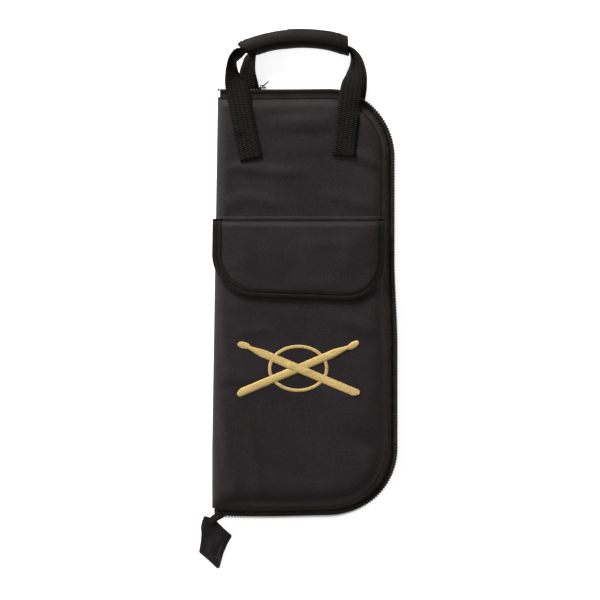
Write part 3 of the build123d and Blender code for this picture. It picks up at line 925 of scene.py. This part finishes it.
def build_flap():
    """Flap cloth, which also stands in for its lining, and the folded binding round its three free sides.
    """
    plan, _, faces = flap_plan(4.0, (1.2, 3, 5.5, 9, 13, 18, 24, 31, 39))
    x, y = plan.T
    y = hang(x, y)
    cloth = to_mesh("pocket_flap_cloth", np.column_stack([x, y, flap_z(x, y)]), faces, CLOTH)
    thicken(cloth, 1.3)
    bind(cloth, "pocket_flap", "cover_cloth", "flap_cloth", "flap_lining")

    profile = (
        # inset from the flap's edge, height above the flap: over the top, then back underneath
        (10.2, 0.1), (9.9, 0.8), (9.0, 1.05), (6.9, 1.15), (5.9, 1.0),
        (5.3, 0.25), (4.7, 1.0), (3.4, 1.25), (1.4, 1.1), (0.3, 0.8),
        (-0.25, 0.0), (0.1, -1.3), (1.5, -2.0), (9.8, -2.0), (10.1, -1.5),
    )
    ring, _, _ = flap_plan(4.0, tuple(inset for inset, _ in profile))
    base = flap_plan(4.0, ())[0]
    count = (len(ring) - len(base)) // len(profile)
    rows = ring[len(base):].reshape(len(profile), count, 2)[::-1]
    ripple = 0.16 * np.sin(lengths_along(rows[4]) / 2.1)
    lines = []
    for (_, lift), row in zip(profile, rows):
        rx, ry = row[:, 0], hang(row[:, 0], row[:, 1])
        lines.append(np.column_stack([rx, ry, flap_z(rx, ry) + lift + ripple * (lift > 0.6)]))
    along = lengths_along(lines[4])
    uv = [(inset, v) for inset, _ in profile for v in along]
    faces = grid_faces(len(profile), count)
    binding = to_mesh("flap_edge_binding", np.vstack(lines), flip(faces), BINDING, uv)
    bind(binding, "pocket_flap", "binding", "flap_binding")

    groove = lines[5] + np.array([0, 0, 0.12])
    stitches("flap_binding_stitches", [groove], 2.9, "pocket_flap", 0.27)
    xs = np.arange(FLAP_LEFT + 3, FLAP_RIGHT - 1, 2.0)
    drops = (SEAM_DROP - 0.45, SEAM_DROP + 0.45)
    rows = [across_row(xs, FLAP_TOP - drop, flap_z, 0.1) for drop in drops]
    stitches("flap_seam_stitches", rows, 3.0, "pocket_flap", 0.4)

    xs = np.arange(FLAP_LEFT + 4, FLAP_RIGHT, 3.0)
    steps = ((FLAP_TOP - 1, 0.6), (FLAP_TOP, 0.9), (FLAP_TOP + 1.5, 0.6), (FLAP_TOP + 3.5, -0.3))
    rows = [across_row(xs, y, front_z, lift) for y, lift in steps]
    tape = to_mesh("flap_seam_fold", np.vstack(rows), grid_faces(len(rows), len(xs)), CLOTH)
    thicken(tape, 0.5)
    bind(tape, "front_half", "cover_cloth", "flap_seam")


def patch(name, centre, size, surface, lift, body, node):
    """Sewn strip of hook or loop tape that lies on a surface."""
    xs = np.linspace(centre[0] - size[0] / 2, centre[0] + size[0] / 2, 24)
    ys = np.linspace(centre[1] - size[1] / 2, centre[1] + size[1] / 2, 8)
    grid_x, grid_y = np.meshgrid(xs, ys)
    height = surface(grid_x.ravel(), grid_y.ravel()) + lift
    points = np.column_stack([grid_x.ravel(), grid_y.ravel(), height])
    piece = thicken(to_mesh(name, points, grid_faces(len(ys), len(xs)), FUZZ), 0.5)
    bind(piece, body, "hook_loop", node)


build_pocket()
build_flap()
patch("pocket_loop_strip", HOOK_STRIP, (70, 20), pocket_z, 0.45, "front_half", "pocket_loop_tape")
patch("flap_hook_strip", HOOK_STRIP, (66, 18), flap_z, -1.3, "pocket_flap", "flap_hook_tape")


# ---- Embroidered emblem --------------------------------------------------------------


def satin(centre_line, half_width, pitch, slant, lift, height):
    """Satin stitch: slanted threads laid side by side over a raised core along a line."""
    along = lengths_along(centre_line)
    tangent = unit(np.gradient(centre_line, axis=0))
    parts = []
    for number, spot in enumerate(np.arange(pitch, along[-1] - pitch, pitch)):
        point = np.array([np.interp(spot, along, centre_line[:, k]) for k in range(2)])
        ahead = unit(np.array([np.interp(spot, along, tangent[:, k]) for k in range(2)]))
        side = np.array([-ahead[1], ahead[0]])
        uneven = 1 + 0.05 * noise.noise(Vector((spot, slant, 0.5)))
        half = float(np.interp(spot, along, half_width)) * uneven
        span = np.linspace(-1, 1, 7)
        plan = point + np.outer(span * half, side) + np.outer(span * half * slant, ahead)
        rise = lift(spot) + height * np.sqrt(np.maximum(1 - span**2, 0.0)) - 0.1
        z = pocket_z(plan[:, 0], plan[:, 1]) + rise + 0.05 * (number % 2)
        parts.append(tube(np.column_stack([plan, z]), 0.25, 5))
    return parts


def build_emblem():
    """Two crossed drumsticks over a drum hoop, in gold thread."""
    parts = []
    half_length = 72.0
    turn = np.radians(np.arange(0, 361, 3))
    hoop = np.column_stack([EMBLEM[0] + 31 * np.cos(turn), EMBLEM[1] + 24 * np.sin(turn)])
    parts += satin(hoop, np.full(len(turn), 1.7), 0.42, 0.25, lambda s: 0.05, 0.5)
    # Each stick's angle, and how far it rises over the one below.
    for angle, over in ((23, 0.0), (157, 0.75)):
        ahead = np.array([math.cos(math.radians(angle)), math.sin(math.radians(angle))])
        s = np.linspace(-half_length, half_length, 97)
        line = np.array(EMBLEM) + np.outer(s, ahead)
        body = np.where(s < 40, 4.3, 4.3 - 2.4 * smooth(s, 40, 60))
        butt = np.sqrt(np.clip((s + half_length) / 4.0, 0.02, 1))
        bead = 3.7 * np.sqrt(np.maximum(1 - ((s - half_length + 7.5) / 7.5) ** 2, 0.0))
        neck = np.where(s < half_length - 9, 1.9, 0.5)
        half = np.where(s > half_length - 13, np.maximum(bead, neck), body * butt)

        def lift(spot, over=over):
            return 0.35 + over * float(smooth(abs(spot - half_length), 16, 7))

        parts += satin(line, half, 0.42, 0.45, lift, 0.75)
    points, faces = merge(parts)
    emblem = to_mesh("crossed_sticks_embroidery", points, faces, GOLD)
    bind(emblem, "front_half", "thread", "embroidered_emblem")


build_emblem()


# ---- Webbing straps ------------------------------------------------------------------


def unwarped(x, y):
    """The plan place that warp_plan() moves to x, y."""
    plan = np.column_stack([x, y])
    return (2 * plan - warp_plan(plan)).T


def ribbon(name, controls, thickness, material, step=2.5, surface=None):
    """Flat strap along a smooth path. Each control is x, y, z, width and roll in degrees.

    With a surface, the strap's whole width follows it wherever the strap is sewn down.
    """
    rows = spline(controls, step)
    place, width, roll = rows[:, :3], rows[:, 3], np.radians(rows[:, 4])
    tangent = unit(np.gradient(place, axis=0))
    flat = unit(np.cross(np.tile([0.0, 0.0, 1.0], (len(rows), 1)), tangent))
    normal = np.cross(tangent, flat)
    across = flat * np.cos(roll)[:, None] + normal * np.sin(roll)[:, None]
    outward = np.cross(tangent, across)
    along = lengths_along(place)
    ends = np.minimum(along, along[-1] - along)
    half_thick = thickness / 2 * (1 + 0.9 * smooth(ends, 21, 19))
    span = np.concatenate([np.linspace(-1, 1, 9), np.linspace(1, -1, 9)])
    face = np.concatenate([np.ones(9), -np.ones(9)])
    rounding = np.where(np.abs(span) > 0.99, 0.45, 1.0)
    curl = 0.35 * (span**2)
    points, uv = [], []
    for i in range(len(rows)):
        lifts = face * rounding * half_thick[i] - curl
        points.append(place[i] + np.outer(span * width[i] / 2, across[i]) + np.outer(lifts, outward[i]))
        uv += [(12.5 + s * width[i] / 2, along[i]) for s in span]
    count = len(span)
    points = np.vstack(points)
    if surface is not None:
        middle = np.repeat(place, count, axis=0)
        here = surface(*unwarped(points[:, 0], points[:, 1]))
        centre = surface(*unwarped(middle[:, 0], middle[:, 1]))
        points[:, 2] += (here - centre) * smooth(middle[:, 1], 226, 206)
    points[:, 2] = np.maximum(points[:, 2], 0.02)
    faces = capped_faces(len(rows), count)
    return to_mesh(name, points, faces, material, uv, warped=False)


def sewn(points):
    """Control rows from x and y that lie on the front cover."""
    x, y = np.array(points, float).T
    heights = front_z(*unwarped(x, y)) + 1.25
    return [(a, b, height, 25, 0) for a, b, height in zip(x, y, heights)]


def build_handles():
    """Two webbing handles, one sewn to each cover, that gather inside the wrap."""
    left = ((-59.7, 156.5), (-61.1, 163), (-62.4, 169), (-64.2, 177), (-66, 186), (-68, 196), (-70, 206))
    right = ((46, 206), (44.9, 196), (43.8, 186), (43, 178), (42.2, 170), (41.3, 159.5))
    front_controls = sewn(left) + [
        (-73.2, 222, 26.5, 25, 0),
        (-76.2, 236, 23.5, 25, 18),
        (-79.0, 247, 19.5, 25, 46),
        (-80.6, 257, 16.5, 24, 60),
        (-79.6, 267.5, 14.8, 23, 68),
        (-73.2, 273.8, 14.2, 22, 64),
        (-62, 278.2, 14.6, 14, 84),
        (-40, 286.2, 14.8, 12, 90),
        (-13, 289.4, 14.8, 12, 90),
        (16, 287.6, 14.8, 12, 90),
        (41, 281.5, 14.6, 13, 88),
        (50.5, 274.5, 14.5, 18, 74),
        (53.6, 263, 16.5, 22, 58),
        (52.8, 250, 19.5, 24, 38),
        (50.2, 236, 23.5, 24.5, 6),
        (47.8, 222, 26.5, 25, 0),
    ] + sewn(right)
    front = ribbon("front_webbing_handle", front_controls, 1.5, WEBBING, surface=front_z)
    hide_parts("front_handle_strap", "front_strap_sewn_ends")
    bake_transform(front)

    back_left = [(-63, y, 0.95, 25, 0) for y in (157, 175, 195)]
    back_right = [(x, y, 0.95, 25, 0) for x, y in ((47.6, 195), (45.7, 175), (44, 157))]
    back_controls = back_left + [
        (-63, 214, 0.95, 25, 0),
        (-63.2, 228, 3.0, 25, 0),
        (-63.8, 240, 7.5, 25, -25),
        (-64.6, 253, 10.2, 24, -42),
        (-63.4, 263, 9.8, 24, -52),
        (-60.8, 271.5, 8.8, 22, -60),
        (-53, 279.5, 7.6, 14, -84),
        (-36, 286.8, 7.2, 11, -90),
        (-13, 289.4, 7.2, 11, -90),
        (14, 287.8, 7.2, 11, -90),
        (38, 283.6, 7.4, 12, -88),
        (48.5, 280.0, 8.2, 16, -68),
        (56.0, 269.5, 9.5, 20, -55),
        (58.6, 254, 10.2, 22, -42),
        (56.0, 241, 8.0, 24, -20),
        (53.4, 228, 3.0, 25, 0),
        (50.4, 214, 0.95, 25, 0),
    ] + back_right
    back = ribbon("back_webbing_handle", back_controls, 1.5, WEBBING)
    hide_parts("back_handle_strap", "back_strap_sewn_ends")
    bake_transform(back)


def box_stitches():
    """A stitched box with a cross on each sewn end of the front strap."""
    half, near, far = 9.5, 1, 19
    lines = []
    for x0, y0, lean in ((-61.6, 158.5, -11.5), (41.7, 161.5, 5.5)):
        ahead = np.array([math.sin(math.radians(lean)), math.cos(math.radians(lean))])
        side = np.array([ahead[1], -ahead[0]])
        foot = np.array([x0, y0])
        a, b = foot + ahead * near - side * half, foot + ahead * near + side * half
        c, d = foot + ahead * far + side * half, foot + ahead * far - side * half
        for first, last in ((a, b), (b, c), (c, d), (d, a), (a, c), (b, d)):
            plan = np.linspace(first, last, 12)
            height = front_z(*unwarped(plan[:, 0], plan[:, 1])) + 2.2
            lines.append(np.column_stack([plan, height]))
    stitches("front_strap_box_stitches", lines, 2.6, "front_half", 0.26, warped=False)


build_handles()
box_stitches()


# ---- Padded grip wrap ----------------------------------------------------------------

def circle_through(a, b, c):
    """Centre and radius of the circle through three plan points."""
    matrix = 2 * np.array([np.subtract(b, a), np.subtract(c, a)])
    squares = [np.dot(b, b) - np.dot(a, a), np.dot(c, c) - np.dot(a, a)]
    centre = np.linalg.solve(matrix, squares)
    return centre, float(np.linalg.norm(centre - np.array(a)))


def wrap_shell(name, first, last, radius, thickness, leaf):
    """Padded sheet round the grip, from one angle to another; 0 is up and 90 the outer side.

    The leaf has a step at its seam and a swollen edge.
    """
    rows, columns = 90, 34
    centre, bend = circle_through(*GRIP_POINTS)
    start = math.atan2(GRIP_POINTS[0][1] - centre[1], GRIP_POINTS[0][0] - centre[0])
    stop = math.atan2(GRIP_POINTS[2][1] - centre[1], GRIP_POINTS[2][0] - centre[0])
    points, uv = [], []
    for i in range(rows):
        s = i / (rows - 1)
        end = min(s, 1 - s)
        for j in range(columns):
            angle = math.radians(first + (last - first) * j / (columns - 1))
            turn = start + (stop - start) * s + GRIP_SKEW * math.sin(angle) / bend
            outward = np.array([math.cos(turn), math.sin(turn)])
            swell = noise.noise(Vector((s * 5.2, angle * 1.1, 3.3))) * 0.7
            crease = 0.25 * math.sin(s * 90 + 3 * noise.noise(Vector((s * 9, angle, 1.2))))
            close = -1.1 * math.exp(-((end / 0.025) ** 2))
            reach = radius + swell + crease * math.exp(-((end / 0.1) ** 2)) * 2 + close
            if leaf:
                reach += 0.6 * float(smooth(s, WRAP_SEAM - 0.005, WRAP_SEAM + 0.005))
                reach += 0.5 * math.exp(-(((math.degrees(angle) - 62) / 7) ** 2))
            plan = centre + outward * (bend + reach * math.sin(angle))
            points.append((plan[0], plan[1], GRIP_Z + reach * math.cos(angle)))
            uv.append((angle * radius, s * 125))
    piece = to_mesh(name, points, grid_faces(rows, columns), WRAP, uv, warped=False)
    thicken(piece, thickness)
    smoother = piece.modifiers.new("smooth", "SUBSURF")
    smoother.levels = smoother.render_levels = 1
    return piece


def build_wrap():
    """The wrap's base follows the back handle; its outer leaf is a separate shell that is not tied to a
    body.
    """
    base = wrap_shell("grip_wrap_base", 84, 354, 8.1, 1.6, leaf=False)
    leaf = wrap_shell("grip_wrap_outer_leaf", -18, 94, 9.2, 2.0, leaf=True)
    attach(base, "back_handle")
    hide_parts("grip_wrap")
    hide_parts("grip_wrap_leaf")
    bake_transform(leaf)


build_wrap()


# ---- Tab on the zip's tail -----------------------------------------------------------


def build_tab():
    """Folded and crushed cloth tab, hemmed along its long edge, on a dark neck of zip tape."""
    outline = np.array((
        # left x, y, height, right x, y
        (-112.0, -234.4, 12.2, -104.2, -236.8),
        (-114.6, -241.0, 11.0, -97.2, -241.4),
        (-115.8, -246.8, 9.9, -90.6, -248.4),
        (-115.4, -254.6, 8.2, -81.2, -257.0),
        (-116.2, -264.0, 6.4, -86.6, -266.5),
        (-118.2, -275.6, 4.9, -91.2, -277.6),
        (-107.0, -285.0, 3.8, -93.6, -286.6),
        (-98.4, -293.2, 2.9, -95.6, -293.6),
    ))
    fine = np.linspace(0, len(outline) - 1, 46)
    rows = np.column_stack([np.interp(fine, np.arange(len(outline)), outline[:, k]) for k in range(5)])
    columns = 26
    points = []
    for i, (left_x, left_y, z, right_x, right_y) in enumerate(rows):
        s = i / (len(rows) - 1)
        for j in range(columns * 2):
            face = 1 if j < columns else -1
            v = (j if j < columns else 2 * columns - 1 - j) / (columns - 1)
            plan = (left_x + (right_x - left_x) * v, left_y + (right_y - left_y) * v)
            edge = math.sqrt(max(1 - (2 * v - 1) ** 6, 0.0))
            fold = 0.6 * math.sin(8.5 * v + 5.2 * s) + 0.3 * math.sin(15 * v - 9 * s + 1.0)
            crush = 0.6 * noise.noise(Vector((plan[0] / 9, plan[1] / 9, 8.8)))
            hem = 0.9 * float(smooth(v, 0.78, 0.82)) + 0.7 * float(smooth(s, 0.76, 0.8))
            height = z - 1.2 + edge * (face * 1.4) + (fold + crush) * edge * min(1, 3 * s, 4 - 4 * s)
            height += hem * edge * (face > 0)
            points.append((plan[0], plan[1], max(height, 0.3)))
    count = columns * 2
    faces = capped_faces(len(rows), count)
    tab = to_mesh("zip_tail_tab", points, faces, CLOTH, warped=False)
    smoother = tab.modifiers.new("smooth", "SUBSURF")
    smoother.levels = smoother.render_levels = 1
    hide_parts("end_tab")
    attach(tab, "tail_tab")

    controls = (
        (-90.5, -231.5, 12.6, 8, 0),
        (-95.0, -234.0, 12.4, 8.4, 15),
        (-99.5, -236.6, 12.2, 8.4, 25),
        (-103.5, -240.0, 11.8, 8.4, 15),
        (-105.5, -243.6, 10.8, 8, 5),
    )
    neck = ribbon("zip_tail_neck", controls, 1.8, BINDING, step=1.2)
    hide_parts("zip_tail")
    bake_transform(neck)


build_tab()


# ---- Stick pockets inside ------------------------------------------------------------


def pocket_fill(x, y):
    """How far a stick pocket stands out, from 0 at its edges to 1, with a dip at the dividing seam."""
    seam = np.exp(-(((x + 3) / 4.0) ** 2))
    return smooth(x, -86, -72) * smooth(inset_at(x, y), 20, 34) * (1 - 0.75 * seam)


def build_stick_pocket(cover, top, sign):
    """Pocket panel inside a cover, with a bound mouth and a dividing seam."""
    insets = (20, 21, 23, 26, 31, 38, 48, 60)
    plan, _, faces = cover_plan(5.0, top=top, left_steps=(-86, -84, -81), insets=insets)
    x, y = plan.T
    fill = pocket_fill(x, y)
    depth = 8.2 - 4.4 * fill + (0.45 * cloud(x, y, 25, 6.6) + 0.3 * cloud(x, y, 9, 2.1)) * fill
    z = FOLD_Z + sign * depth
    if sign > 0:
        faces = flip(faces)
    panel = to_mesh(f"{cover}_stick_pocket_panel", np.column_stack([x, y, z]), faces, LINING)
    thicken(panel, 0.5)
    bind(panel, f"{cover}_half", "lining", f"{cover}_stick_pocket")

    xs = np.arange(-86, 81, 3.0)
    rows = []
    profile = (
        (top - 6, 0.35),
        (top - 5, 0.75),
        (top - 0.6, 0.75),
        (top + 0.5, 0.2),
        (top - 0.6, -0.8),
        (top - 6, -0.9),
    )
    for where, lift in profile:
        fill = pocket_fill(xs, np.full_like(xs, where))
        height = FOLD_Z + sign * (8.2 - 4.6 * fill - lift)
        rows.append(np.column_stack([xs, np.full_like(xs, where), height]))
    uv = [(where, v) for where, _ in profile for v in xs]
    faces = grid_faces(len(rows), len(xs))
    if sign < 0:
        faces = flip(faces)
    binding = to_mesh(f"{cover}_stick_pocket_edge", np.vstack(rows), faces, BINDING, uv)
    bind(binding, f"{cover}_half", "binding", f"{cover}_stick_pocket_binding")
    ys = np.arange(-212, top - 7, 2.0)
    fill = smooth(inset_at(np.full_like(ys, -3.0), ys), 20, 34) * 0.25
    line = np.column_stack([np.full_like(ys, -3.0), ys, FOLD_Z + sign * (7.9 - 4.6 * fill)])
    stitches(f"{cover}_stick_pocket_stitches", [line], 3.0, f"{cover}_half", 0.27 * -sign)


build_stick_pocket("front", 22.0, 1)
build_stick_pocket("back", 62.0, -1)

for node in ("zip_slider", "zip_pull", "zip_stops_front", "zip_stops_back"):
    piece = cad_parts[node]
    for number in range(len(piece.material_slots)):
        piece.material_slots[number].material = METAL
